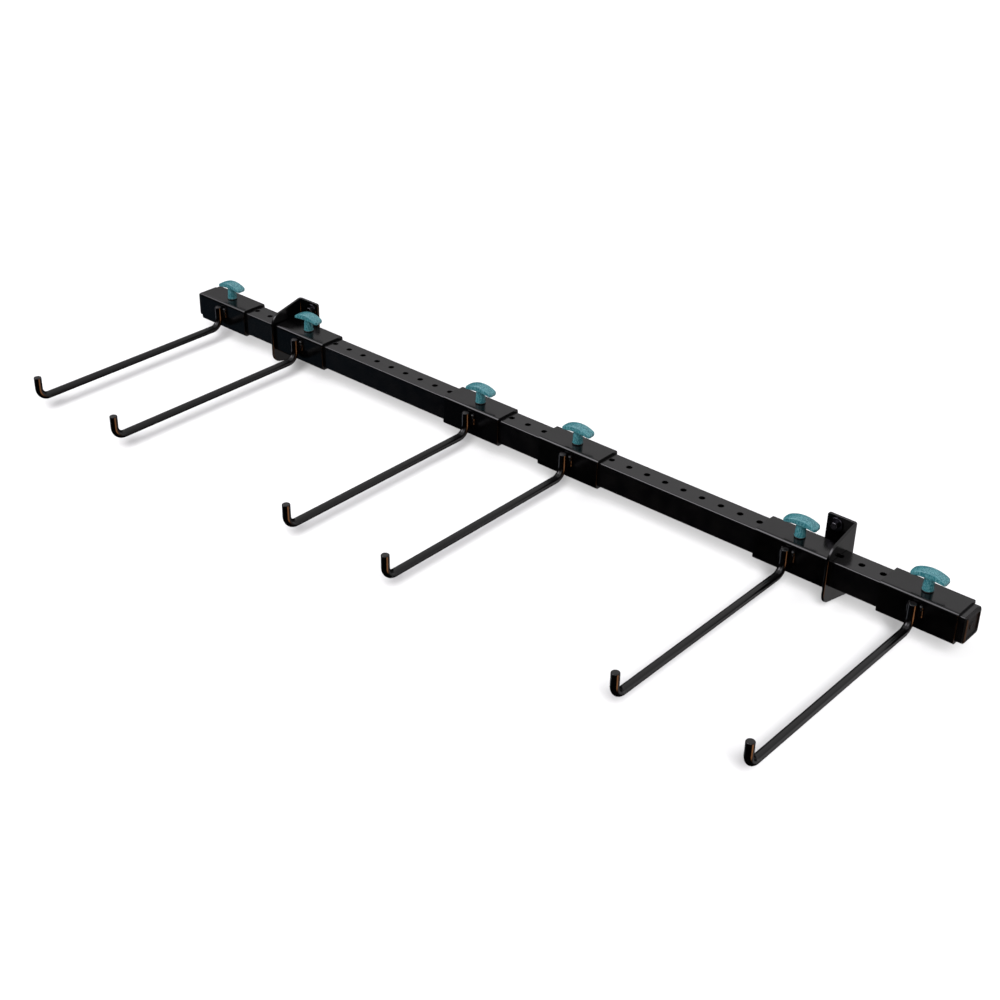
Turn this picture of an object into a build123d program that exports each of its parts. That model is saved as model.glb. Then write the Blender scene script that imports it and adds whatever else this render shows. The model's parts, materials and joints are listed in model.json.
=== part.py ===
from build123d import *
import os

# Wall hook rack: a square rail on two wall brackets, with six sliding carriers. Each carrier
# holds one long J-shaped rod and a pull pin that locks it to the holes along the rail.
#
# Frame: +X along the rail to the right, +Y into the wall, +Z up, in millimetres. The origin is
# the centre of the four wall bolts, on the wall's surface. Stations below are X positions.

INCH = 25.4

# Where the rail's axis lies from the origin.
rail_y = -33.0
rail_z = 2.45

# Rail: square steel tube with a row of locking holes in its top wall.
rail_size = 1.25 * INCH
rail_wall = 2.0
rail_corner = 2.0
rail_length = 46 * INCH
index_pitch = INCH
index_count = 43
index_hole_d = 7.1

# End caps: moulded plugs that close the tube.
cap_thickness = 3.3
cap_edge = 2.8
cap_plug_depth = 20.0
cap_plug_gap = 0.15
cap_plug_wall = 2.0
cap_panel_inset = 4.2
cap_panel_depth = 0.6
cap_dimple_r = 4.5
cap_dimple_depth = 0.4

# Wall brackets: bent plate, welded round the rail.
plate = 3.2
bracket_station = 430.5
bracket_height = 3.5 * INCH
bracket_front_y = -23.3 + rail_y
bracket_slope = 0.235
bracket_top_round = 20.0
bracket_bottom_round = 14.0
bracket_bend_r = 4.4
flange_width = 36.0
flange_corner = 3.0
bracket_weld = 3.0
bracket_weld_length = 24.0

# Wall bolts and their washers.
bolt_station = 16 * INCH
bolt_rise = 2.625 * INCH / 2
bolt_thread_d = 0.25 * INCH
bolt_shank_d = 6.0
bolt_reach = 0.5 * INCH
bolt_head_across_flats = 8.0
bolt_head_height = 4.2
bolt_hole_d = 7.1
washer_d = 17.0
washer_thickness = 1.6

# Sliding carriers.
stations = [steps * index_pitch for steps in (-21, -15, -3, 3, 15, 21)]
sleeve_length = 3.5 * INCH
sleeve_size = 1.5 * INCH
sleeve_wall = 2.9
sleeve_corner = 3.8
sleeve_inner_corner = 1.4

# Hook rods: one bent round bar each, welded upright against the sleeve's front.
rod_d = 0.375 * INCH
rod_offset_x = -2.6
rod_gap = 0.05
rod_bend_r = 13.5
arm_z = -16.3 + rail_z
leg_top_z = 13.4 + rail_z
tip_top_z = 12.7 + rail_z
hook_reach = 305.5
rod_chamfer = 0.6

# Weld beads between the rod's leg and the sleeve.
bead_r = 2.9
bead_side = 6.7
bead_out = 1.3
bead_low_z = -2.4 + rail_z
bead_high_z = 9.2 + rail_z

# Pull pin: a flanged barrel in the sleeve's top, with a sprung plunger inside it.
pin_clearance = 0.05
barrel_neck_r = 5.0
barrel_flange_r = 6.35
barrel_flange_t = 1.0
barrel_tube_r = 4.0
barrel_top_t = 1.5
spring_room = 15.0
nose_r = 3.175
nose_above_rail = 0.325
nose_length = 3.3
nose_chamfer = 0.6
plunger_rod_r = 2.0
pin_travel = 8.0
spring_wire_d = 0.7
spring_coil_r = 2.65
spring_turns = 5

# T-handle, pressed on to the plunger's rod.
stem_bottom_r = 6.4
stem_top_r = 5.6
stem_gap = 0.05
handle_bore_r = 4.3
handle_bore_over = 0.6
handle_rod_depth = 4.0
handle_turn = 3.0
grip_top = 23.7
grip_half_length = 20.3
grip_droop = 6.0
grip_depth = 14.2
grip_middle_t = 7.2
grip_tip_t = 4.0
grip_end_round = 4.0

sleeve_top = rail_z + sleeve_size / 2
rail_top = rail_z + rail_size / 2
sleeve_front = rail_y - sleeve_size / 2


def bar_along_x(size, corner, length):
    """Solid square bar with rounded long edges, centred on the origin."""
    section = Plane.YZ * RectangleRounded(size, size, corner)
    return extrude(section, amount=length / 2, both=True)


def on_rail(shape, x=0.0):
    """Move a shape made about the origin to a station on the rail's axis."""
    return Pos(x, rail_y, rail_z) * shape


def upright(radius, low, high):
    """Cylinder about the Z axis from one height to another."""
    return Pos(0, 0, (low + high) / 2) * Cylinder(radius, high - low)


def along_y(radius, near, far):
    """Cylinder about the Y axis from one depth to another."""
    return Pos(0, (near + far) / 2, 0) * Rot(90, 0, 0) * Cylinder(radius, far - near)


def save(shape, name):
    """Write one node."""
    shape.label = name
    export_step(shape, "parts/" + name + ".step")


def make_rail():
    """The square tube and its row of locking holes."""
    inner_corner = max(rail_corner - rail_wall, 0.6)
    tube = bar_along_x(rail_size, rail_corner, rail_length)
    tube -= bar_along_x(rail_size - 2 * rail_wall, inner_corner, rail_length + 2)
    drill = upright(index_hole_d / 2, rail_size / 2 - rail_wall - 1, rail_size / 2 + 1)
    first = -index_pitch * (index_count - 1) / 2
    for step in range(index_count):
        tube -= Pos(first + step * index_pitch, 0, 0) * drill
    return on_rail(tube)


def make_end_cap(side):
    """Plug with a bevelled head; side is -1 for the left end and +1 for the right."""
    face = Plane.YZ * RectangleRounded(rail_size, rail_size, rail_corner)
    head = extrude(face, amount=cap_thickness)
    head = fillet(head.faces().sort_by(Axis.X)[-1].edges(), cap_edge)
    panel_size = rail_size - 2 * cap_panel_inset
    panel = Plane.YZ.offset(cap_thickness - cap_panel_depth) * RectangleRounded(panel_size, panel_size, 1.5)
    head -= extrude(panel, amount=cap_thickness)
    dimple_at = cap_thickness - cap_panel_depth - cap_dimple_depth
    head -= extrude(Plane.YZ.offset(dimple_at) * Circle(cap_dimple_r), amount=cap_thickness)
    plug_size = rail_size - 2 * rail_wall - 2 * cap_plug_gap
    plug = extrude(Plane.YZ * RectangleRounded(plug_size, plug_size, 0.8), amount=-cap_plug_depth)
    hollow_size = plug_size - 2 * cap_plug_wall
    plug -= extrude(Plane.YZ * Rectangle(hollow_size, hollow_size), amount=-cap_plug_depth)
    cap = Pos(rail_length / 2, 0, 0) * (head + plug)
    if side < 0:
        cap = mirror(cap, about=Plane.YZ)
    return on_rail(cap)


def make_bracket(side):
    """Bent plate with sloping edges, a bolting flange and a square hole for the rail."""
    half = bracket_height / 2
    front_half = half + bracket_slope * (bracket_front_y + bracket_bend_r)
    outer = FilletPolyline(
        (bracket_station, bracket_front_y), (bracket_station, 0), (bracket_station - flange_width, 0),
        radius=bracket_bend_r,
    )
    inner = FilletPolyline(
        (bracket_station - plate, bracket_front_y), (bracket_station - plate, -plate),
        (bracket_station - flange_width, -plate),
        radius=bracket_bend_r - plate,
    )
    ends = [Line(outer @ 0, inner @ 0), Line(outer @ 1, inner @ 1)]
    folded = make_face(outer.edges() + inner.edges() + ends)
    bracket = extrude(folded, amount=half, both=True)
    free_corners = bracket.edges().filter_by(Axis.Y).group_by(Axis.X)[0]
    bracket = fillet(free_corners, flange_corner)
    outline = FilletPolyline(
        (1, -half), (1, half), (-bracket_bend_r, half), (bracket_front_y, front_half),
        (bracket_front_y, -front_half), (-bracket_bend_r, -half),
        radius=[0, 0, 0, bracket_top_round, bracket_bottom_round, 0],
        close=True,
    )
    bracket &= extrude(Plane.YZ * make_face(outline), amount=2 * bracket_station)
    bracket -= on_rail(bar_along_x(rail_size, rail_corner, 2 * rail_length))
    for rise in (-bolt_rise, bolt_rise):
        bracket -= Pos(bolt_station, 0, rise) * along_y(bolt_hole_d / 2, -2 * plate, plate)
    if side < 0:
        bracket = mirror(bracket, about=Plane.YZ)
    return bracket


def make_bracket_weld(side):
    """Two fillet welds on the bracket's outer face, behind and below the rail."""
    below = (Align.CENTER, Align.MAX)
    root = Plane.YZ * Rectangle(bracket_weld_length, bracket_weld, align=below)
    toe = Plane.YZ.offset(bracket_weld) * Rectangle(bracket_weld_length - 1, bracket_weld / 10, align=below)
    bead = Pos(bracket_station, 0, 0) * loft([root, toe])
    under = Pos(0, rail_y, rail_z - rail_size / 2) * bead
    behind = Pos(0, rail_y + rail_size / 2, rail_z) * Rot(90, 0, 0) * bead
    beads = [under, behind]
    if side < 0:
        beads = [mirror(one, about=Plane.YZ) for one in beads]
    return Compound(children=beads)


def make_wall_bolts():
    """Four bolts: hexagonal head in front of the washer, shank into the wall."""
    seat = -plate - washer_thickness
    hexagon = RegularPolygon(bolt_head_across_flats / 2, 6, major_radius=False)
    head = extrude(Plane.XZ.offset(-seat) * hexagon, amount=bolt_head_height)
    shank = along_y(bolt_shank_d / 2, seat - 0.5, 0)
    thread = along_y(bolt_thread_d / 2, 0, seat + bolt_reach)
    return head + shank + thread


def at_bolts(shape):
    """One copy of a shape at each of the four wall bolts."""
    copies = []
    for station in (-bolt_station, bolt_station):
        for rise in (-bolt_rise, bolt_rise):
            copies.append(Pos(station, 0, rise) * shape)
    return Compound(children=copies)


def make_washer():
    """Flat washer in front of the bracket's flange, with a rounded rim."""
    disc = along_y(washer_d / 2, -plate - washer_thickness, -plate)
    rim = disc.edges().filter_by(GeomType.CIRCLE).sort_by(Axis.Y)[0]
    disc = fillet(rim, 0.6)
    return disc - along_y(bolt_hole_d / 2 - 0.2, -3 * plate, plate)


def make_sleeve():
    """Carrier's square sleeve, with a hole in its top for the pin's barrel."""
    sleeve = bar_along_x(sleeve_size, sleeve_corner, sleeve_length)
    inner = sleeve_size - 2 * sleeve_wall
    sleeve -= bar_along_x(inner, sleeve_inner_corner, sleeve_length + 2)
    sleeve -= upright(barrel_neck_r, inner / 2 - 1, sleeve_size / 2 + 1)
    return on_rail(sleeve)


def rod_leg_y():
    """Depth of the rod's upright leg, just clear of the sleeve's front."""
    return sleeve_front - rod_d / 2 - rod_gap


def make_hook():
    """One round bar: upright leg, long level arm and upturned tip."""
    leg_y = rod_leg_y()
    tip_y = sleeve_front - hook_reach + rod_d / 2
    corners = [(0, leg_y, leg_top_z), (0, leg_y, arm_z), (0, tip_y, arm_z), (0, tip_y, tip_top_z)]
    route = FilletPolyline(*corners, radius=rod_bend_r)
    section = Plane(origin=(0, leg_y, leg_top_z), z_dir=(0, 0, -1)) * Circle(rod_d / 2)
    rod = sweep(section, path=route)
    ends = rod.edges().filter_by(GeomType.CIRCLE).sort_by(Axis.Z)[-2:]
    ends = ends.filter_by(lambda e: e.center().Z > tip_top_z - 0.1)
    rod = chamfer(ends, rod_chamfer)
    return Pos(rod_offset_x, 0, 0) * rod


def make_hook_weld():
    """A rounded bead each side of the leg, bridging the rod and the sleeve's face."""
    bead = upright(bead_r, bead_low_z, bead_high_z)
    bead += Pos(0, 0, bead_low_z) * Sphere(bead_r)
    bead += Pos(0, 0, bead_high_z) * Sphere(bead_r)
    rod = upright(rod_d / 2, bead_low_z - 10, bead_high_z + 10)
    rod = Pos(rod_offset_x, rod_leg_y(), 0) * rod
    face = Box(100, 100, 100, align=(Align.CENTER, Align.MIN, Align.CENTER))
    face = Pos(0, sleeve_front, 0) * face
    beads = []
    for side in (-1, 1):
        one = Pos(rod_offset_x + side * bead_side, sleeve_front - bead_out, 0) * bead
        beads.append(one - rod - face)
    return Compound(children=[part for one in beads for part in one.solids()])


def barrel_heights():
    """Heights of the barrel's foot, flange top, spring seat and closed top."""
    foot = rail_top + 0.6
    flange_top = sleeve_top + barrel_flange_t
    seat = rail_top + nose_above_rail + nose_length + spring_room
    return foot, flange_top, seat, seat + barrel_top_t


def make_barrel():
    """Flanged barrel: neck in the sleeve's top wall and a tube that guides the plunger."""
    foot, flange_top, seat, top = barrel_heights()
    barrel = upright(barrel_neck_r, foot, sleeve_top)
    barrel += upright(barrel_flange_r, sleeve_top, flange_top)
    barrel += upright(barrel_tube_r, sleeve_top, top)
    barrel -= upright(nose_r + pin_clearance, foot - 1, seat)
    barrel -= upright(plunger_rod_r + pin_clearance, seat - 1, top + 1)
    return Pos(0, rail_y, 0) * barrel


def make_plunger():
    """Locking nose with a thinner rod up into the handle."""
    low = rail_top + nose_above_rail
    shoulder = low + nose_length
    top = barrel_heights()[3] + handle_bore_over + handle_rod_depth
    nose = upright(nose_r, low, shoulder)
    rim = nose.edges().filter_by(GeomType.CIRCLE).sort_by(Axis.Z)[0]
    nose = chamfer(rim, nose_chamfer)
    plunger = nose + upright(plunger_rod_r, shoulder, top)
    return Pos(0, rail_y, 0) * plunger


def make_spring():
    """Compression spring round the plunger's rod, between its shoulder and the barrel's top."""
    shoulder = rail_top + nose_above_rail + nose_length
    margin = spring_wire_d / 2 + 0.02
    height = spring_room - 2 * margin
    coil = Helix(pitch=height / spring_turns, height=height, radius=spring_coil_r)
    wire = Plane(origin=coil @ 0, z_dir=coil % 0) * Circle(spring_wire_d / 2)
    spring = sweep(wire, path=coil, is_frenet=True)
    return Pos(0, rail_y, shoulder + margin) * spring


def make_handle():
    """T-handle: tapered stem over the barrel and a drooping grip across the top."""
    low = sleeve_top + barrel_flange_t + stem_gap
    top = sleeve_top + grip_top
    end_z = top - grip_droop
    under_z = top - grip_middle_t
    tip_low_z = end_z - grip_tip_t
    over = ThreePointArc((-grip_half_length, end_z), (0, top), (grip_half_length, end_z))
    under = ThreePointArc((-grip_half_length, tip_low_z), (0, under_z), (grip_half_length, tip_low_z))
    right = Line((grip_half_length, end_z), (grip_half_length, tip_low_z))
    left = Line((-grip_half_length, end_z), (-grip_half_length, tip_low_z))
    profile = Plane.XZ * make_face([over, right, under, left])
    grip = extrude(profile, amount=grip_depth / 2, both=True)
    plan = RectangleRounded(2 * grip_half_length, grip_depth, grip_end_round)
    grip &= Pos(0, 0, tip_low_z - 5) * extrude(plan, amount=grip_top + 20)
    stem = Pos(0, 0, (low + under_z + 2) / 2) * Cone(stem_bottom_r, stem_top_r, under_z + 2 - low)
    handle = grip + stem
    bore_top = barrel_heights()[3] + handle_bore_over
    handle -= upright(handle_bore_r, low - 1, bore_top)
    handle -= upright(plunger_rod_r, bore_top - 1, bore_top + handle_rod_depth)
    return Pos(0, rail_y, 0) * Rot(0, 0, handle_turn) * handle


os.makedirs("parts", exist_ok=True)

save(make_rail(), "rail")
for side, word in ((-1, "left"), (1, "right")):
    save(make_end_cap(side), "end_cap_" + word)
    save(make_bracket(side), "bracket_" + word)
    save(make_bracket_weld(side), "bracket_weld_" + word)
save(at_bolts(make_wall_bolts()), "wall_bolts")
save(at_bolts(make_washer()), "wall_washers")

carrier_pieces = {
    "carrier_sleeve": make_sleeve(),
    "hook_arm": make_hook(),
    "hook_weld": make_hook_weld(),
    "pin_barrel": make_barrel(),
    "pin_plunger": make_plunger(),
    "pin_spring": make_spring(),
    "pin_handle": make_handle(),
}
for number, station in enumerate(stations, start=1):
    for name, piece in carrier_pieces.items():
        save(Pos(station, 0, 0) * piece, name + "_" + str(number))
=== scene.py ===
import json
import math
import random

import bmesh
import bpy
from mathutils import Matrix, Vector


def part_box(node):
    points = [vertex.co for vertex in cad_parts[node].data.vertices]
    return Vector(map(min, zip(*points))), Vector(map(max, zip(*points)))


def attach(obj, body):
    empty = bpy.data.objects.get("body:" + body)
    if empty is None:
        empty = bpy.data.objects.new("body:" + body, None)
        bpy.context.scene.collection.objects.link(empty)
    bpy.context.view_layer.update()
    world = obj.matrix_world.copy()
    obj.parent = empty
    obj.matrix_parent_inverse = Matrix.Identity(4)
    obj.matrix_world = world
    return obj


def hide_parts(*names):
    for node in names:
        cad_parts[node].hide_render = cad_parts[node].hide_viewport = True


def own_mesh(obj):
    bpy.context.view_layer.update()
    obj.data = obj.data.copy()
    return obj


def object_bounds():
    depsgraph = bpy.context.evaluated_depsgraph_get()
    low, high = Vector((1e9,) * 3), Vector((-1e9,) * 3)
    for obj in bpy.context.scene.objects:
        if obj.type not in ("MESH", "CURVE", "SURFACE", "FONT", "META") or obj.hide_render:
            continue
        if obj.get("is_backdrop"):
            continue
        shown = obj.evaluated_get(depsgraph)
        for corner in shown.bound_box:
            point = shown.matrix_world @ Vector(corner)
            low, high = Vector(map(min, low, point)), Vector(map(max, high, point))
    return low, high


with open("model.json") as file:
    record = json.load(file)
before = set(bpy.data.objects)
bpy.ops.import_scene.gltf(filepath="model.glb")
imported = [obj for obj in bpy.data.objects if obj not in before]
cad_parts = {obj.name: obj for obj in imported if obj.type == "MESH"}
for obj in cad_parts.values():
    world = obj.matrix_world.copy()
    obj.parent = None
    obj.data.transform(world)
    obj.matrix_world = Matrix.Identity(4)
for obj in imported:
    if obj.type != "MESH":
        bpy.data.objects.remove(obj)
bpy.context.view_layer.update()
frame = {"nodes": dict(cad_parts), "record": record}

MM = 0.001
BEHAVIOUR = frame["record"]["behaviour"]
BODY_OF = {node: body for body, nodes in BEHAVIOUR["bodies"].items() for node in nodes}
CARRIERS = range(1, 7)
SIDES = ((-1, "left"), (1, "right"))


# ---------------------------------------------------------------- node helpers

class Graph:
    """A small wrapper that adds and links shader nodes."""

    def __init__(self, tree):
        self.tree = tree
        tree.nodes.clear()

    def add(self, kind, **settings):
        node = self.tree.nodes.new(kind)
        for name, value in settings.items():
            setattr(node, name, value)
        return node

    def link(self, source, target):
        self.tree.links.new(source, target)

    def math(self, operation, a, b):
        node = self.add("ShaderNodeMath", operation=operation)
        for socket, value in zip(node.inputs, (a, b)):
            if isinstance(value, (int, float)):
                socket.default_value = value
            else:
                self.link(value, socket)
        return node.outputs[0]

    def spread(self, value, low_in, high_in, low_out, high_out):
        """Smooth step from one range to another."""
        node = self.add("ShaderNodeMapRange", interpolation_type="SMOOTHSTEP")
        self.link(value, node.inputs["Value"])
        node.inputs["From Min"].default_value = low_in
        node.inputs["From Max"].default_value = high_in
        node.inputs["To Min"].default_value = low_out
        node.inputs["To Max"].default_value = high_out
        return node.outputs["Result"]

    def noise(self, size, detail=3.0, roughness=0.5, stretch=(1, 1, 1)):
        """Solid noise whose features are about size metres across."""
        place = self.add("ShaderNodeTexCoord").outputs["Object"]
        if stretch != (1, 1, 1):
            mapping = self.add("ShaderNodeMapping")
            mapping.inputs["Scale"].default_value = stretch
            self.link(place, mapping.inputs["Vector"])
            place = mapping.outputs[0]
        node = self.add("ShaderNodeTexNoise")
        self.link(place, node.inputs["Vector"])
        node.inputs["Scale"].default_value = 1 / size
        node.inputs["Detail"].default_value = detail
        node.inputs["Roughness"].default_value = roughness
        return node.outputs["Fac"]

    def pointiness(self):
        """About 0.5 on flat faces and more on outward edges."""
        return self.add("ShaderNodeNewGeometry").outputs["Pointiness"]

    def mix(self, factor, colour_a, colour_b):
        """Blend of two colours; sockets 6 and 7 are the Mix node's colours and output 2 its colour."""
        node = self.add("ShaderNodeMix", data_type="RGBA")
        self.link(factor, node.inputs["Factor"])
        for index, colour in ((6, colour_a), (7, colour_b)):
            if isinstance(colour, tuple):
                node.inputs[index].default_value = (*colour, 1)
            else:
                self.link(colour, node.inputs[index])
        return node.outputs[2]

    def bump(self, height, distance, strength=1.0, under=None):
        node = self.add("ShaderNodeBump")
        node.inputs["Strength"].default_value = strength
        node.inputs["Distance"].default_value = distance
        self.link(height, node.inputs["Height"])
        if under is not None:
            self.link(under, node.inputs["Normal"])
        return node.outputs["Normal"]


# ---------------------------------------------------------------- the room

# Soft lights that the gloss picks up: direction, outer and inner half-angle in degrees, colour, strength.
GLOWS = [
    ((-0.48, -0.50, 0.72), 24, 6, (0.96, 0.93, 1.0), 8.0),
    ((0.40, -0.52, 0.75), 24, 8, (0.95, 0.93, 1.0), 3.0),
    ((0.87, 0.10, -0.48), 21, 8, (1.0, 0.42, 0.17), 7.0),
    ((-0.88, -0.05, -0.48), 14, 4, (0.88, 0.90, 1.0), 0.9),
    ((0.557, 0.656, -0.51), 24, 8, (1.0, 0.98, 0.99), 0.48),
    ((-0.78, -0.48, -0.40), 18, 4, (0.5, 0.75, 1.0), 0.12),
    ((0.68, -0.70, 0.22), 26, 10, (1.0, 0.98, 1.0), 0.5),
    ((0.68, 0.72, -0.05), 24, 8, (1.0, 0.98, 1.0), 1.2),
    ((0.85, 0.49, 0.20), 24, 10, (1.0, 0.98, 1.0), 0.5),
    ((0.30, 0.93, 0.20), 24, 10, (1.0, 0.98, 1.0), 0.5),
]
# The sky's light starts and is full at these heights on the unit sphere.
SKY_START, SKY_FULL = 0.2, 0.6
SKY_COLOUR = (1.0, 0.985, 1.0)
SKY_STRENGTH = 1.1
BACKDROP_COLOUR = (1.0, 1.0, 1.0)
KEY_TOWARDS = (0.488, -0.575, 0.656)
FLOOR_HALF = 14.0
FLOOR_GAP = 1.0 * MM
FLOOR_TONE = 0.25


def make_lobe(graph, place, towards, outer, inner, colour, strength):
    """Light round one direction, from nothing at the cosine outer to full at the cosine inner."""
    dot = graph.add("ShaderNodeVectorMath", operation="DOT_PRODUCT")
    graph.link(place, dot.inputs[0])
    dot.inputs[1].default_value = Vector(towards).normalized()
    glow = graph.spread(dot.outputs["Value"], outer, inner, 0, strength)
    tint = graph.add("ShaderNodeVectorMath", operation="SCALE")
    tint.inputs[0].default_value = colour
    graph.link(glow, tint.inputs["Scale"])
    return tint.outputs[0]


def make_world():
    """Studio light: pale above, dark below the horizon, with soft glows; the camera sees white."""
    world = bpy.data.worlds.new("studio")
    world.use_nodes = True
    graph = Graph(world.node_tree)
    place = graph.add("ShaderNodeTexCoord").outputs["Generated"]
    total = make_lobe(graph, place, (0, 0, 1), SKY_START, SKY_FULL, SKY_COLOUR, SKY_STRENGTH)
    for towards, outer, inner, colour, strength in GLOWS:
        edge = math.cos(math.radians(outer))
        core = math.cos(math.radians(inner))
        join = graph.add("ShaderNodeVectorMath", operation="ADD")
        graph.link(total, join.inputs[0])
        graph.link(make_lobe(graph, place, towards, edge, core, colour, strength), join.inputs[1])
        total = join.outputs[0]
    light = graph.add("ShaderNodeBackground")
    graph.link(total, light.inputs["Color"])
    backdrop = graph.add("ShaderNodeBackground")
    backdrop.inputs["Color"].default_value = (*BACKDROP_COLOUR, 1)
    seen = graph.add("ShaderNodeMixShader")
    graph.link(graph.add("ShaderNodeLightPath").outputs["Is Camera Ray"], seen.inputs[0])
    graph.link(light.outputs[0], seen.inputs[1])
    graph.link(backdrop.outputs[0], seen.inputs[2])
    output = graph.add("ShaderNodeOutputWorld")
    graph.link(seen.outputs[0], output.inputs["Surface"])
    bpy.context.scene.world = world


def make_floor(height):
    """Large white floor just under the rack, clear from below; the gloss doesn't pick it up."""
    corners = [(x * FLOOR_HALF, y * FLOOR_HALF, height) for x, y in ((-1, -1), (1, -1), (1, 1), (-1, 1))]
    mesh = bpy.data.meshes.new("floor")
    mesh.from_pydata(corners, [], [(0, 1, 2, 3)])
    floor = bpy.data.objects.new("floor", mesh)
    bpy.context.collection.objects.link(floor)
    material, graph, shader = begin_material("floor_white")
    clear = graph.add("ShaderNodeBsdfTransparent")
    from_below = graph.add("ShaderNodeMixShader")
    graph.link(graph.add("ShaderNodeNewGeometry").outputs["Backfacing"], from_below.inputs[0])
    graph.link(shader.outputs[0], from_below.inputs[1])
    graph.link(clear.outputs[0], from_below.inputs[2])
    graph.link(from_below.outputs[0], graph.tree.nodes["Material Output"].inputs["Surface"])
    shader.inputs["Base Color"].default_value = (FLOOR_TONE, FLOOR_TONE, FLOOR_TONE, 1)
    shader.inputs["Roughness"].default_value = 0.9
    shader.inputs["Specular IOR Level"].default_value = 0.0
    mesh.materials.append(material)
    floor.visible_glossy = False
    floor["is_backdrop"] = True
    return floor


def make_key(name, strength, angle, lit, shadow_of=None):
    """Broad key light for the floor only, shadowed by everything or by the given pieces alone."""
    lamp = bpy.data.lights.new(name, "SUN")
    lamp.energy = strength
    lamp.angle = math.radians(angle)
    light = bpy.data.objects.new(name, lamp)
    light.rotation_euler = Vector(KEY_TOWARDS).to_track_quat("Z", "Y").to_euler()
    light.visible_glossy = False
    bpy.context.collection.objects.link(light)
    receivers = bpy.data.collections.new(name + "_lit")
    receivers.objects.link(lit)
    light.light_linking.receiver_collection = receivers
    if shadow_of:
        blockers = bpy.data.collections.new(name + "_blockers")
        for piece in shadow_of:
            blockers.objects.link(piece)
        light.light_linking.blocker_collection = blockers


CAMERA_AZIMUTH, CAMERA_ELEVATION, CAMERA_ROLL = 40.337, 30.655, 1.266
CAMERA_DISTANCE = 2.06809
CAMERA_TARGET = (-0.04144, -0.033, -0.10375)
CAMERA_LENS = 59.451


def make_camera():
    """Camera from the front right and above."""
    azimuth = math.radians(CAMERA_AZIMUTH)
    elevation = math.radians(CAMERA_ELEVATION)
    roll = math.radians(CAMERA_ROLL)
    level = math.cos(elevation)
    back = Vector((math.sin(azimuth) * level, -math.cos(azimuth) * level, math.sin(elevation)))
    right = Vector((math.cos(azimuth), math.sin(azimuth), 0))
    up = back.cross(right)
    tilted_right = math.cos(roll) * right + math.sin(roll) * up
    tilted_up = math.cos(roll) * up - math.sin(roll) * right
    turn = Matrix((tilted_right, tilted_up, back)).transposed()
    place = Vector(CAMERA_TARGET) + CAMERA_DISTANCE * back
    data = bpy.data.cameras.new("camera")
    data.sensor_width = 36
    data.lens = CAMERA_LENS
    camera = bpy.data.objects.new("camera", data)
    camera.matrix_world = Matrix.Translation(place) @ turn.to_4x4()
    bpy.context.collection.objects.link(camera)
    bpy.context.scene.camera = camera


# ---------------------------------------------------------------- materials

def begin_material(name):
    material = bpy.data.materials.new(name)
    material.use_nodes = True
    graph = Graph(material.node_tree)
    shader = graph.add("ShaderNodeBsdfPrincipled")
    output = graph.add("ShaderNodeOutputMaterial")
    graph.link(shader.outputs[0], output.inputs["Surface"])
    return material, graph, shader


def make_powder_coat(name, gloss, tone=1.0):
    """Semi-gloss black powder coat: orange peel, fine grain, faint clouding and a few dust specks."""
    material, graph, shader = begin_material(name)
    clouds = graph.noise(18 * MM, 4.0, 0.6)
    peel = graph.noise(1.6 * MM, 2.0)
    grain = graph.noise(0.45 * MM, 2.0)
    specks = graph.spread(graph.noise(1.1 * MM, 1.0), 0.70, 0.76, 0, 1)
    deep = (0.0003 * tone, 0.0003 * tone, 0.0004 * tone)
    pale = (0.0009 * tone, 0.0008 * tone, 0.0008 * tone)
    colour = graph.mix(graph.spread(clouds, 0.3, 0.7, 0, 1), deep, pale)
    colour = graph.mix(specks, colour, (0.005, 0.0045, 0.004))
    graph.link(colour, shader.inputs["Base Color"])
    rough = graph.spread(clouds, 0.3, 0.7, 0.13, 0.19)
    rough = graph.math("ADD", rough, graph.spread(grain, 0.35, 0.65, -0.02, 0.03))
    graph.link(rough, shader.inputs["Roughness"])
    ripple = graph.bump(peel, 0.05 * MM, 0.5)
    normal = graph.bump(grain, 0.012 * MM, 0.5, ripple)
    graph.link(normal, shader.inputs["Normal"])
    shader.inputs["Specular IOR Level"].default_value = gloss
    return material


def make_teal():
    """Teal moulded plastic with a mottled flow pattern, a painted highlight along its edges and an uneven
    satin skin.
    """
    material, graph, shader = begin_material("teal_plastic")
    flow = graph.noise(7 * MM, 5.0, 0.62, (1, 1.6, 1.3))
    mottle = graph.noise(2.0 * MM, 3.0, 0.65, (1.6, 1.6, 0.7))
    colour = graph.mix(graph.spread(flow, 0.32, 0.68, 0, 1), (0.013, 0.094, 0.114), (0.026, 0.146, 0.162))
    colour = graph.mix(graph.spread(mottle, 0.46, 0.62, 0, 0.65), colour, (0.095, 0.26, 0.275))
    # Painted highlight: outward edges and rims are painted paler teal.
    colour = graph.mix(graph.spread(graph.pointiness(), 0.505, 0.55, 0, 0.7), colour, (0.17, 0.37, 0.39))
    graph.link(colour, shader.inputs["Base Color"])
    graph.link(graph.spread(mottle, 0.3, 0.7, 0.24, 0.34), shader.inputs["Roughness"])
    shape = graph.bump(flow, 0.10 * MM, 0.4)
    normal = graph.bump(graph.noise(0.7 * MM, 2.0), 0.02 * MM, 0.5, shape)
    graph.link(normal, shader.inputs["Normal"])
    return material


def make_black_plastic():
    """Black moulded plastic with a fine spark-eroded grain and scuffs."""
    material, graph, shader = begin_material("black_plastic")
    grain = graph.noise(0.5 * MM, 3.0, 0.6)
    scuffs = graph.spread(graph.noise(3 * MM, 4.0, 0.7, (1, 1, 4)), 0.56, 0.72, 0, 1)
    colour = graph.mix(scuffs, (0.003, 0.0028, 0.0026), (0.010, 0.009, 0.008))
    graph.link(colour, shader.inputs["Base Color"])
    graph.link(graph.spread(grain, 0.3, 0.7, 0.36, 0.52), shader.inputs["Roughness"])
    graph.link(graph.bump(grain, 0.04 * MM, 0.6), shader.inputs["Normal"])
    shader.inputs["Specular IOR Level"].default_value = 0.2
    return material


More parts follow.
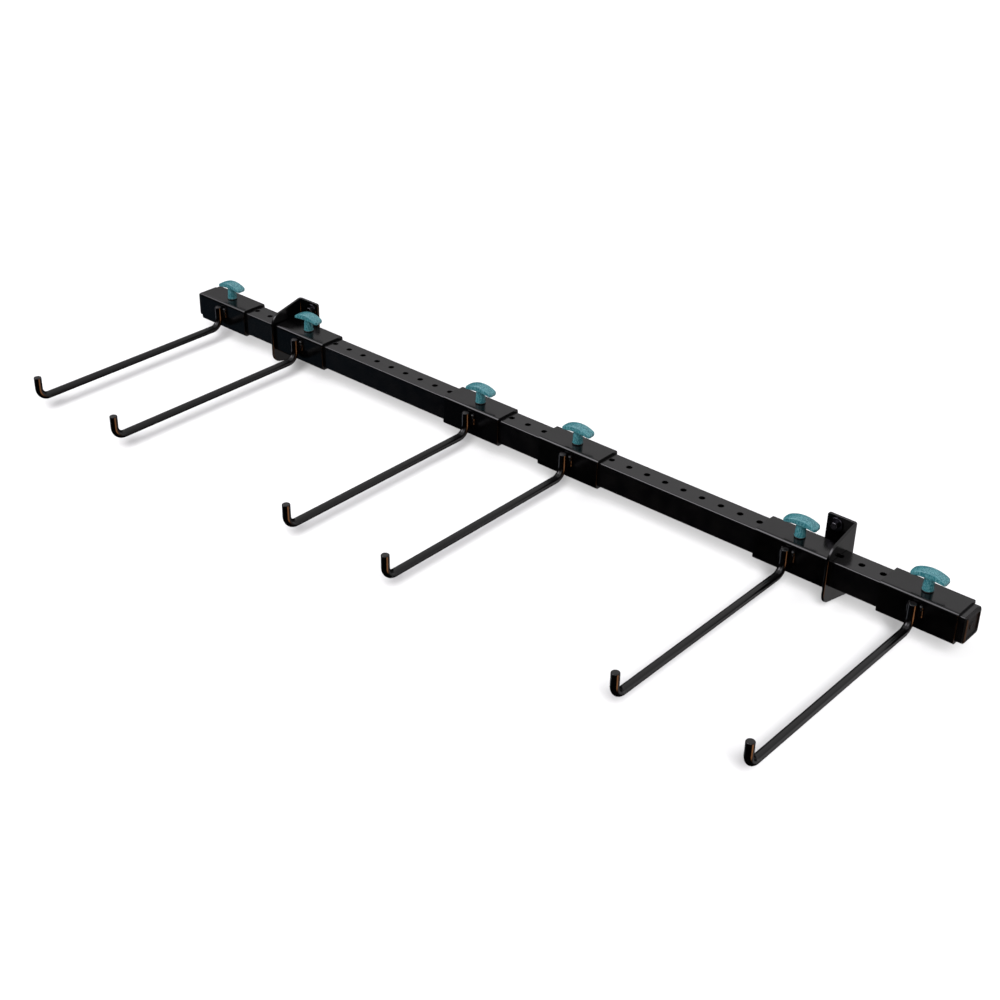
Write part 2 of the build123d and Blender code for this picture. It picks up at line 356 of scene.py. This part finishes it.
def make_metal(name, dark, bright, rough, size, stretch=(1, 1, 1), edge_wear_and_highlight=0.0):
    """Bare or blackened steel: two tones, machining grain, and, when the last argument is above 0, outward
    edges painted paler as rubbed wear and as a painted highlight.
    """
    material, graph, shader = begin_material(name)
    tone = graph.noise(size, 4.0, 0.6, stretch)
    colour = graph.mix(graph.spread(tone, 0.3, 0.7, 0, 1), dark, bright)
    if edge_wear_and_highlight > 0:
        # Outward edges painted paler: partly rubbed wear, partly a painted highlight on rims.
        wear_and_highlight_mask = graph.spread(graph.pointiness(), 0.52, 0.60, 0, edge_wear_and_highlight)
        wear_and_highlight_mask = graph.math("MULTIPLY", wear_and_highlight_mask, graph.spread(graph.noise(1.5 * MM), 0.35, 0.6, 0.3, 1))
        colour = graph.mix(wear_and_highlight_mask, colour, (0.45, 0.44, 0.43))
    graph.link(colour, shader.inputs["Base Color"])
    shader.inputs["Metallic"].default_value = 1.0
    graph.link(graph.spread(tone, 0.3, 0.7, rough - 0.06, rough + 0.08), shader.inputs["Roughness"])
    graph.link(graph.bump(tone, 0.02 * MM, 0.5), shader.inputs["Normal"])
    return material


# ---------------------------------------------------------------- mesh helpers

SAME_PLACE = 0.0005 * MM
SAME_PLANE = math.radians(0.5)
SHARP = math.radians(30)


def box_mm(node):
    """The lowest and highest corners of a CAD node, in millimetres."""
    return [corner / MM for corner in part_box(node)]


def add_piece(name, mesh, slot, node):
    """Put a mesh in the scene with its finish; it stands for the CAD node and rides on its body."""
    piece = bpy.data.objects.new(name, mesh)
    bpy.context.collection.objects.link(piece)
    mesh.materials.clear()
    mesh.materials.append(FINISH[slot])
    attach(piece, BODY_OF[node])
    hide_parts(node)
    return piece


def finish_mesh(work, name):
    """Turn a bmesh into a smooth mesh with outward faces."""
    bmesh.ops.recalc_face_normals(work, faces=work.faces)
    mesh = bpy.data.meshes.new(name)
    work.to_mesh(mesh)
    work.free()
    mesh.shade_smooth()
    return mesh


def weight_normals(piece):
    """Keep broad faces flat while the rounded edges shade smoothly."""
    modifier = piece.modifiers.new("weighted_normals", "WEIGHTED_NORMAL")
    modifier.weight = 90
    modifier.keep_sharp = True


def subdivide(piece, levels):
    modifier = piece.modifiers.new("smooth", "SUBSURF")
    modifier.levels = levels
    modifier.render_levels = levels


def soften(name, slot, radius, segments=2):
    """A copy of a CAD node with its sharp edges rounded, standing for that node."""
    work = bmesh.new()
    work.from_mesh(frame["nodes"][name].data)
    bmesh.ops.remove_doubles(work, verts=work.verts, dist=SAME_PLACE)
    bmesh.ops.dissolve_limit(work, angle_limit=SAME_PLANE, verts=work.verts, edges=work.edges)
    sharp = [edge for edge in work.edges if edge.is_manifold and edge.calc_face_angle() > SHARP]
    bmesh.ops.bevel(work, geom=sharp, offset=radius, offset_type="OFFSET", segments=segments, profile=0.5,
                    affect="EDGES", clamp_overlap=False)
    bmesh.ops.triangulate(work, faces=[face for face in work.faces if len(face.verts) > 4])
    piece = add_piece("soft_" + name, finish_mesh(work, "soft_" + name), slot, name)
    weight_normals(piece)
    return piece


def bridge(work, ring_a, ring_b):
    """Quads between two rings with the same number of points."""
    count = len(ring_a)
    for index in range(count):
        after = (index + 1) % count
        work.faces.new((ring_a[index], ring_a[after], ring_b[after], ring_b[index]))


def add_loft(work, rings):
    """Skin a row of rings, each a list of points in millimetres, and close its ends."""
    rows = [[work.verts.new(Vector(point) * MM) for point in ring] for ring in rings]
    for row, following in zip(rows, rows[1:]):
        bridge(work, row, following)
    work.faces.new(list(reversed(rows[0])))
    work.faces.new(rows[-1])


def loft_mesh(name, rings):
    work = bmesh.new()
    add_loft(work, rings)
    return finish_mesh(work, name)


def circle_points(radius, count):
    turns = [2 * math.pi * index / count for index in range(count)]
    return [(radius * math.cos(turn), radius * math.sin(turn)) for turn in turns]


def rounded_square(half, radius, per_corner):
    """Points round a square with rounded corners, counter-clockwise from its right-hand side."""
    points = []
    for corner in range(4):
        middle = math.pi / 4 + corner * math.pi / 2
        cx = math.copysign(half - radius, math.cos(middle))
        cy = math.copysign(half - radius, math.sin(middle))
        for step in range(per_corner + 1):
            turn = corner * math.pi / 2 + step / per_corner * math.pi / 2
            points.append((cx + radius * math.cos(turn), cy + radius * math.sin(turn)))
    return points


# ---------------------------------------------------------------- T-handle, in millimetres from its foot

HANDLE_TURN = math.radians(3.0)
GRIP_HALF, GRIP_DEPTH, GRIP_TOP, GRIP_DROOP = 20.0, 14.0, 22.65, 6.0
GRIP_MIDDLE, GRIP_TIP = 7.2, 3.4
GRIP_ROUND, GRIP_ROUND_STEPS, GRIP_NARROWING = 2.7, 4, 0.9
GRIP_EDGE, GRIP_CROWN, TIP_EDGE = 0.9, 0.3, 0.7
GRIP_STRAIGHTS = (9.0, 12.0, 14.6)
STEM_HALF_X = 7.0
STEM_QUADS = 6           # quads across and along the hole that the stem joins
STEM_JOIN = GRIP_TOP - GRIP_MIDDLE
BORE_TOP, ROD_TOP = 16.5, 20.4
# Radius and height of the stem's rings, down its outside and then up its bore.
STEM_OUTSIDE = [
    (6.35, STEM_JOIN - 0.35), (5.85, STEM_JOIN - 1.1), (5.65, STEM_JOIN - 2.2), (5.70, STEM_JOIN - 4.5),
    (5.85, 8.0), (6.02, 5.0), (6.16, 2.6), (6.26, 1.5), (6.48, 1.15), (6.52, 0.7), (6.45, 0.2), (6.2, 0.0),
]
STEM_INSIDE = [
    (4.55, 0.0), (4.32, 0.25), (4.32, 1.0), (4.32, BORE_TOP - 0.3), (4.2, BORE_TOP), (2.3, BORE_TOP),
    (2.05, BORE_TOP + 0.2), (2.05, ROD_TOP - 0.2), (1.9, ROD_TOP),
]


def arch(x, crown, ends):
    """Height of a circular arch through its crown and its two ends."""
    rise = crown - ends
    radius = (GRIP_HALF ** 2 + rise ** 2) / (2 * rise)
    return crown - radius + math.sqrt(radius ** 2 - x ** 2)


def grip_ring(x, half_depth, inset):
    """Section of the grip: flat underside, rounded edges and crowned top, counter-clockwise seen from +X."""
    top = arch(x, GRIP_TOP, GRIP_TOP - GRIP_DROOP) - inset
    under = arch(x, STEM_JOIN, GRIP_TOP - GRIP_DROOP - GRIP_TIP) + inset
    half = half_depth - inset
    radius = min(GRIP_EDGE, half * 0.6, (top - under) * 0.4)
    flat = half - radius
    shoulder = top - GRIP_CROWN - radius
    shares = [2 * step / STEM_QUADS - 1 for step in range(STEM_QUADS + 1)]
    turns = [step * math.pi / 6 for step in (1, 2)]
    underside = [(x, flat * share, under) for share in shares]
    edge = [(x, flat + radius * math.sin(turn), under + radius * (1 - math.cos(turn))) for turn in turns]
    edge += [(x, half, under + radius), (x, half, shoulder)]
    edge += [(x, flat + radius * math.cos(turn), shoulder + radius * math.sin(turn)) for turn in turns]
    crown = [(x, -flat * share, top - GRIP_CROWN * share ** 2) for share in shares]
    far_edge = [(x, -y, z) for x, y, z in reversed(edge)]
    return underside + edge + crown + far_edge


def grip_stations():
    """Distance along the grip, half depth there and how far the section is drawn in."""
    half = GRIP_DEPTH / 2
    middle = [(STEM_HALF_X * (2 * step / STEM_QUADS - 1), half, 0.0) for step in range(STEM_QUADS + 1)]
    outer = [(x, half, 0.0) for x in GRIP_STRAIGHTS]
    for step in range(1, GRIP_ROUND_STEPS + 1):
        turn = step * math.pi / 2 / GRIP_ROUND_STEPS
        x = GRIP_HALF - GRIP_ROUND + (GRIP_ROUND - TIP_EDGE) * math.sin(turn)
        outer.append((x, half - GRIP_ROUND * (1 - math.cos(turn)) * GRIP_NARROWING, 0.0))
    last_half = outer[-1][1]
    for turn in (math.pi / 6, math.pi / 3, math.pi / 2):
        inset = TIP_EDGE * (1 - math.cos(turn))
        outer.append((GRIP_HALF - TIP_EDGE + TIP_EDGE * math.sin(turn), last_half, inset))
    mirrored = [(-x, depth, inset) for x, depth, inset in reversed(outer)]
    return mirrored + middle + outer


def make_handle_mesh():
    """Grip and hollow stem as one skin, to be smoothed by subdivision."""
    work = bmesh.new()
    rows = []
    for x, half, inset in grip_stations():
        rows.append([work.verts.new(point) for point in grip_ring(x, half, inset)])
    count = len(rows[0])
    first = (len(rows) - STEM_QUADS - 1) // 2
    for row_index, (row, following) in enumerate(zip(rows, rows[1:])):
        for index in range(count):
            if first <= row_index < first + STEM_QUADS and index < STEM_QUADS:
                continue
            after = (index + 1) % count
            work.faces.new((row[index], row[after], following[after], following[index]))
    work.faces.new(list(reversed(rows[0])))
    work.faces.new(rows[-1])
    last = first + STEM_QUADS
    rim = [rows[first + step][0] for step in range(STEM_QUADS)]
    rim += [rows[last][step] for step in range(STEM_QUADS)]
    rim += [rows[last - step][STEM_QUADS] for step in range(STEM_QUADS)]
    rim += [rows[first][STEM_QUADS - step] for step in range(STEM_QUADS)]
    angles = [math.atan2(vert.co.y, vert.co.x) for vert in rim]
    previous = rim
    for radius, z in STEM_OUTSIDE + STEM_INSIDE:
        ring = [work.verts.new((radius * math.cos(angle), radius * math.sin(angle), z)) for angle in angles]
        bridge(work, previous, ring)
        previous = ring
    work.faces.new(previous)
    bmesh.ops.scale(work, vec=(MM, MM, MM), verts=work.verts)
    return finish_mesh(work, "t_handle")


def make_handles():
    pattern = make_handle_mesh()
    for number in CARRIERS:
        node = "pin_handle_%d" % number
        low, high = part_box(node)
        middle = (low + high) / 2
        foot = Matrix.Translation((middle.x, middle.y, low.z))
        mesh = pattern.copy()
        mesh.transform(foot @ Matrix.Rotation(HANDLE_TURN, 4, "Z"))
        subdivide(add_piece("t_handle_%d" % number, mesh, "teal_plastic", node), 2)


# ---------------------------------------------------------------- hook rods, in millimetres

ROD_RADIUS, ROD_BEND, TIP_DROP = 4.7625, 13.5, 0.7
BEND_STEPS, ARM_STEPS, ROD_SIDES = 14, 24, 36
# Each cut end is rounded over these distances from it, to these shares of the radius.
ROD_END = [(0.0, 0.72), (0.05, 0.82), (0.3, 0.95), (0.8, 1.0)]


def rod_path(leg_y, tip_y, top_z, arm_z):
    """Points (y, z) and headings in degrees down the leg, along the arm and up the tip."""
    bend_z = arm_z + ROD_BEND
    start = leg_y - ROD_BEND
    stop = tip_y + ROD_BEND
    path = [(leg_y, top_z, -90.0), (leg_y, bend_z + 0.2, -90.0)]
    for step in range(BEND_STEPS + 1):
        angle = 90 * step / BEND_STEPS
        turn = math.radians(angle)
        path.append((start + ROD_BEND * math.cos(turn), bend_z - ROD_BEND * math.sin(turn), -90.0 - angle))
    for step in range(1, ARM_STEPS):
        path.append((start + (stop - start) * step / ARM_STEPS, arm_z, -180.0))
    for step in range(BEND_STEPS + 1):
        angle = 90 * step / BEND_STEPS
        turn = math.radians(angle)
        path.append((stop - ROD_BEND * math.sin(turn), bend_z - ROD_BEND * math.cos(turn), -180.0 - angle))
    path += [(tip_y, bend_z + 0.2, -270.0), (tip_y, top_z - TIP_DROP, -270.0)]
    return path


def rod_stations(x, path):
    """Centre, heading and share of the full radius at each ring of a rod."""
    stations = []
    for index, (y, z, heading) in enumerate(path):
        turn = math.radians(heading)
        ahead = Vector((0, math.cos(turn), math.sin(turn)))
        centre = Vector((x, y, z))
        if index == 0:
            stations += [(centre + gap * ahead, ahead, share) for gap, share in ROD_END]
        elif index == len(path) - 1:
            stations += [(centre - gap * ahead, ahead, share) for gap, share in reversed(ROD_END)]
        else:
            stations.append((centre, ahead, 1.0))
    return stations


def make_rods():
    """Bent round bars with rounded cut ends."""
    rods = []
    side = Vector((1, 0, 0))
    for number in CARRIERS:
        node = "hook_arm_%d" % number
        low, high = box_mm(node)
        path = rod_path(high.y - ROD_RADIUS, low.y + ROD_RADIUS, high.z, low.z + ROD_RADIUS)
        rings = []
        for centre, ahead, share in rod_stations((low.x + high.x) / 2, path):
            across = ahead.cross(side)
            circle = circle_points(ROD_RADIUS * share, ROD_SIDES)
            rings.append([centre + a * side + b * across for a, b in circle])
        piece = add_piece("hook_rod_%d" % number, loft_mesh("hook_rod", rings), "black_powder_coat", node)
        weight_normals(piece)
        rods.append(piece)
    return rods


# ---------------------------------------------------------------- weld beads, in millimetres

# Side of the leg, distance of the bead's middle from the rod's and the bead's radius.
HOOK_BEADS = [(-1, 6.1, 2.3), (1, 7.5, 3.6)]
BEAD_STEPS, BEAD_SIDES, BEAD_RIPPLES = 26, 24, 4.5
# The bead's middle stands off the sleeve's front face, and its flat back lies inside it.
BEAD_LIFT, BEAD_SINK = 1.0, 0.3
BRACKET_BEAD_LENGTH, BRACKET_BEAD_STEPS, BRACKET_BEAD_RIPPLES, BEAD_ROOT = 24.0, 30, 7, 0.2
PINCH = 1.25             # a power that draws a round section in towards its corners


def pinch(value):
    return math.copysign(abs(value) ** PINCH, value)


def taper(share, end, power):
    """1 along most of a bead and smaller towards its ends."""
    return math.sin(math.pi * min(max(share, end), 1 - end)) ** power


def hook_bead_rings(side, offset, size, low, high, rng):
    """Ripples up one side of the leg, with a flat back just inside the sleeve's front face."""
    middle_x = (low.x + high.x) / 2
    tilt = rng.uniform(-0.5, 0.5)
    rings = []
    for step in range(BEAD_STEPS + 1):
        share = step / BEAD_STEPS
        z = low.z + (high.z - low.z) * share
        ripple = 1 + 0.06 * math.sin(share * 2 * math.pi * BEAD_RIPPLES + side) + rng.uniform(-0.025, 0.025)
        radius = size * taper(share, 0.012, 0.32) * ripple
        x = middle_x + side * (offset + tilt * (share - 0.5)) + rng.uniform(-0.05, 0.05)
        ring = []
        for a, b in circle_points(1.0, BEAD_SIDES):
            y = min(high.y - BEAD_LIFT + pinch(b) * radius, high.y + BEAD_SINK)
            ring.append((x + pinch(a) * radius, max(y, low.y), z))
        rings.append(ring)
    return rings


def make_hook_welds():
    """Lumpy weld bead on each side of the leg."""
    for number in CARRIERS:
        node = "hook_weld_%d" % number
        low, high = box_mm(node)
        work = bmesh.new()
        for side, offset, size in HOOK_BEADS:
            rng = random.Random(100 * number + side)
            add_loft(work, hook_bead_rings(side, offset, size, low, high, rng))
        mesh = finish_mesh(work, "hook_weld")
        subdivide(add_piece("hook_bead_%d" % number, mesh, "black_powder_coat", node), 1)


def bracket_bead_rings(root, along, away, out, size, rng):
    """Rippled fillet in the corner at root, between the directions away and out."""
    rings = []
    for step in range(BRACKET_BEAD_STEPS + 1):
        share = step / BRACKET_BEAD_STEPS
        ripple = 0.93 + 0.05 * math.sin(share * 2 * math.pi * BRACKET_BEAD_RIPPLES) + rng.uniform(-0.02, 0.02)
        reach = size * taper(share, 0.01, 0.3) * ripple
        bulge = reach * 0.98
        start = root + along * (share - 0.5) * BRACKET_BEAD_LENGTH
        ring = [start - BEAD_ROOT * (out + away), start - BEAD_ROOT * out + away * reach]
        for turn_step in range(7):
            turn = math.radians(90 * (1 - turn_step / 6))
            ring.append(start + bulge * (away * pinch(math.sin(turn)) + out * pinch(math.cos(turn))))
        ring.append(start + out * reach - BEAD_ROOT * away)
        rings.append(ring)
    return rings


def make_bracket_welds():
    """Beads under the rail and behind it where each bracket meets it."""
    rail_low, rail_high = box_mm("rail")
    middle = (rail_low + rail_high) / 2
    for side, word in SIDES:
        node = "bracket_weld_" + word
        low, high = box_mm(node)
        plate_x = low.x if side > 0 else high.x
        out = Vector((side, 0, 0))
        runs = [
            (Vector((plate_x, middle.y, rail_low.z)), Vector((0, 1, 0)), Vector((0, 0, -1))),
            (Vector((plate_x, rail_high.y, middle.z)), Vector((0, 0, 1)), Vector((0, 1, 0))),
        ]
        work = bmesh.new()
        for index, (root, along, away) in enumerate(runs):
            rng = random.Random(7 + index + (10 if side > 0 else 0))
            add_loft(work, bracket_bead_rings(root, along, away, out, high.x - low.x, rng))
        add_piece("bracket_bead_" + word, finish_mesh(work, "bracket_weld"), "black_powder_coat", node)


# ---------------------------------------------------------------- end caps, in millimetres

CAP_CORNER, CAP_EDGE, CAP_EDGE_STEPS = 2.0, 2.6, 7
PLUG_INSET, PLUG_DEPTH, PLUG_WALL, PLUG_CORNER = 2.15, 20.0, 2.0, 0.8
PER_CORNER = 7


def cap_squares(half, head):
    """Half size, corner radius and height of the square rings, from inside the plug to the sunk panel."""
    plug = half - PLUG_INSET
    rings = [
        (plug - PLUG_WALL, 0.6, 1.0), (plug - PLUG_WALL, 0.6, 0.1 - PLUG_DEPTH),
        (plug - 1.8, 0.6, -PLUG_DEPTH), (plug - 0.3, PLUG_CORNER, -PLUG_DEPTH),
        (plug, PLUG_CORNER, 0.4 - PLUG_DEPTH), (plug, PLUG_CORNER, 0.0),
        (half - 0.35, CAP_CORNER, 0.0), (half, CAP_CORNER, 0.25), (half, CAP_CORNER, 0.6),
    ]
    for step in range(1, CAP_EDGE_STEPS + 1):
        turn = step * math.pi / 2 / CAP_EDGE_STEPS
        inset = CAP_EDGE * (1 - math.cos(turn))
        height = head - CAP_EDGE + CAP_EDGE * math.sin(turn) - 0.08
        rings.append((half - inset, CAP_CORNER + 0.7 * inset, height))
    face = half - CAP_EDGE
    rings += [
        (face - 0.9, 2.3, head), (face - 1.1, 2.2, head - 0.1), (face - 1.2, 2.2, head - 0.4),
        (face - 1.4, 2.1, head - 1.6), (face - 1.7, 2.0, head - 1.8), (face - 3.0, 2.2, head - 1.8),
    ]
    return rings


def cap_circles(head):
    """Radius and height of the round boss and of the dimple in it."""
    return [
        (5.3, head - 1.8), (5.0, head - 1.7), (4.8, head - 0.9), (4.5, head - 0.7), (2.6, head - 0.7),
        (2.3, head - 0.9), (1.0, head - 1.2), (0.4, head - 1.2),
    ]


def spaced_circle(radius):
    """A circle with as many points as rounded_square gives for PER_CORNER, at like angles."""
    points = []
    for corner in range(4):
        for step in range(PER_CORNER + 1):
            turn = (corner + (step + 0.5) / (PER_CORNER + 1)) * math.pi / 2
            points.append((radius * math.cos(turn), radius * math.sin(turn)))
    return points


def make_caps():
    """Moulded plugs: rounded rim, sunk panel and a round boss with a plain dimple."""
    rail_low, rail_high = box_mm("rail")
    for side, word in SIDES:
        node = "end_cap_" + word
        low, high = box_mm(node)
        middle = (low + high) / 2
        seat = rail_high.x if side > 0 else rail_low.x
        half = (high.y - low.y) / 2
        head = abs((high.x if side > 0 else low.x) - seat)
        squares = cap_squares(half, head)
        outlines = [(rounded_square(size, corner, PER_CORNER), x) for size, corner, x in squares]
        outlines += [(spaced_circle(radius), x) for radius, x in cap_circles(head)]
        rings = []
        for outline, x in outlines:
            rings.append([Vector((seat + side * x, middle.y + a, middle.z + b)) for a, b in outline])
        weight_normals(add_piece("rail_cap_" + word, loft_mesh("end_cap", rings), "black_plastic", node))


# ---------------------------------------------------------------- springs, in millimetres

WIRE_RADIUS, WIRE_SIDES = 0.35, 10
SPRING_TURNS, CLOSED_TURNS, TURN_STEPS = 7, 1.0, 32


def spring_height(turns, length):
    """How far up the coil the wire is after some turns; its first and last turns lie closed."""
    closed = 2.1 * WIRE_RADIUS
    active = SPRING_TURNS - 2 * CLOSED_TURNS
    pitch = (length - 2 * CLOSED_TURNS * closed) / active
    before = min(turns, CLOSED_TURNS)
    after = max(turns - SPRING_TURNS + CLOSED_TURNS, 0)
    return (before + after) * closed + (turns - before - after) * pitch


def make_springs():
    """Compression springs in the barrels, riding on the bodies of their CAD nodes."""
    for number in CARRIERS:
        node = "pin_spring_%d" % number
        low, high = box_mm(node)
        centre = (low + high) / 2
        coil = (high.x - low.x) / 2 - WIRE_RADIUS
        length = high.z - low.z - 2 * WIRE_RADIUS
        wire = circle_points(WIRE_RADIUS, WIRE_SIDES)
        rings = []
        for step in range(TURN_STEPS * SPRING_TURNS + 1):
            turns = step / TURN_STEPS
            angle = 2 * math.pi * turns
            out = Vector((math.cos(angle), math.sin(angle), 0))
            place = centre + coil * out
            place.z = low.z + WIRE_RADIUS + spring_height(turns, length)
            rings.append([place + a * out + Vector((0, 0, b)) for a, b in wire])
        piece = add_piece("coil_spring_%d" % number, loft_mesh("coil_spring", rings), "spring_steel", node)
        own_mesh(piece)


# ---------------------------------------------------------------- scene

bpy.context.scene.view_settings.view_transform = "Standard"
make_camera()
make_world()
floor = make_floor(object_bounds()[0][2] - FLOOR_GAP)

BOLT_DARK, BOLT_BRIGHT = (0.022, 0.021, 0.026), (0.050, 0.048, 0.056)
PIN_DARK, PIN_BRIGHT = (0.010, 0.010, 0.011), (0.03, 0.03, 0.03)
STEEL_DARK, STEEL_BRIGHT = (0.42, 0.42, 0.43), (0.62, 0.62, 0.63)
SPRING_DARK, SPRING_BRIGHT = (0.35, 0.35, 0.35), (0.55, 0.55, 0.55)
FINISH = {
    "black_powder_coat": make_powder_coat("black_powder_coat", 0.28),
    "teal_plastic": make_teal(),
    "black_plastic": make_black_plastic(),
    "black_bolt_steel": make_metal("black_bolt_steel", BOLT_DARK, BOLT_BRIGHT, 0.20, 2 * MM, edge_wear_and_highlight=0.2),
    "black_pin_steel": make_metal("black_pin_steel", PIN_DARK, PIN_BRIGHT, 0.3, 2 * MM, (1, 1, 8), edge_wear_and_highlight=0.4),
    "bright_pin_steel": make_metal("bright_pin_steel", STEEL_DARK, STEEL_BRIGHT, 0.3, 2 * MM, (1, 1, 9)),
    "spring_steel": make_metal("spring_steel", SPRING_DARK, SPRING_BRIGHT, 0.28, 1 * MM),
}

make_handles()
rods = make_rods()
make_hook_welds()
make_bracket_welds()
make_caps()
make_springs()
rail = soften("rail", "black_powder_coat", 0.35 * MM)
rail.data.materials[0] = make_powder_coat("black_powder_coat_rail", 0.33, 2.6)
for _, word in SIDES:
    soften("bracket_" + word, "black_powder_coat", 0.7 * MM, 3)
soften("wall_bolts", "black_bolt_steel", 0.45 * MM)
soften("wall_washers", "black_bolt_steel", 0.5 * MM, 3)
for number in CARRIERS:
    soften("carrier_sleeve_%d" % number, "black_powder_coat", 0.22 * MM)
    soften("pin_barrel_%d" % number, "black_pin_steel", 0.25 * MM)
    soften("pin_plunger_%d" % number, "bright_pin_steel", 0.2 * MM)

make_key("key", 7.0, 24, floor)
make_key("arm_key", 7.6, 20, floor, rods)
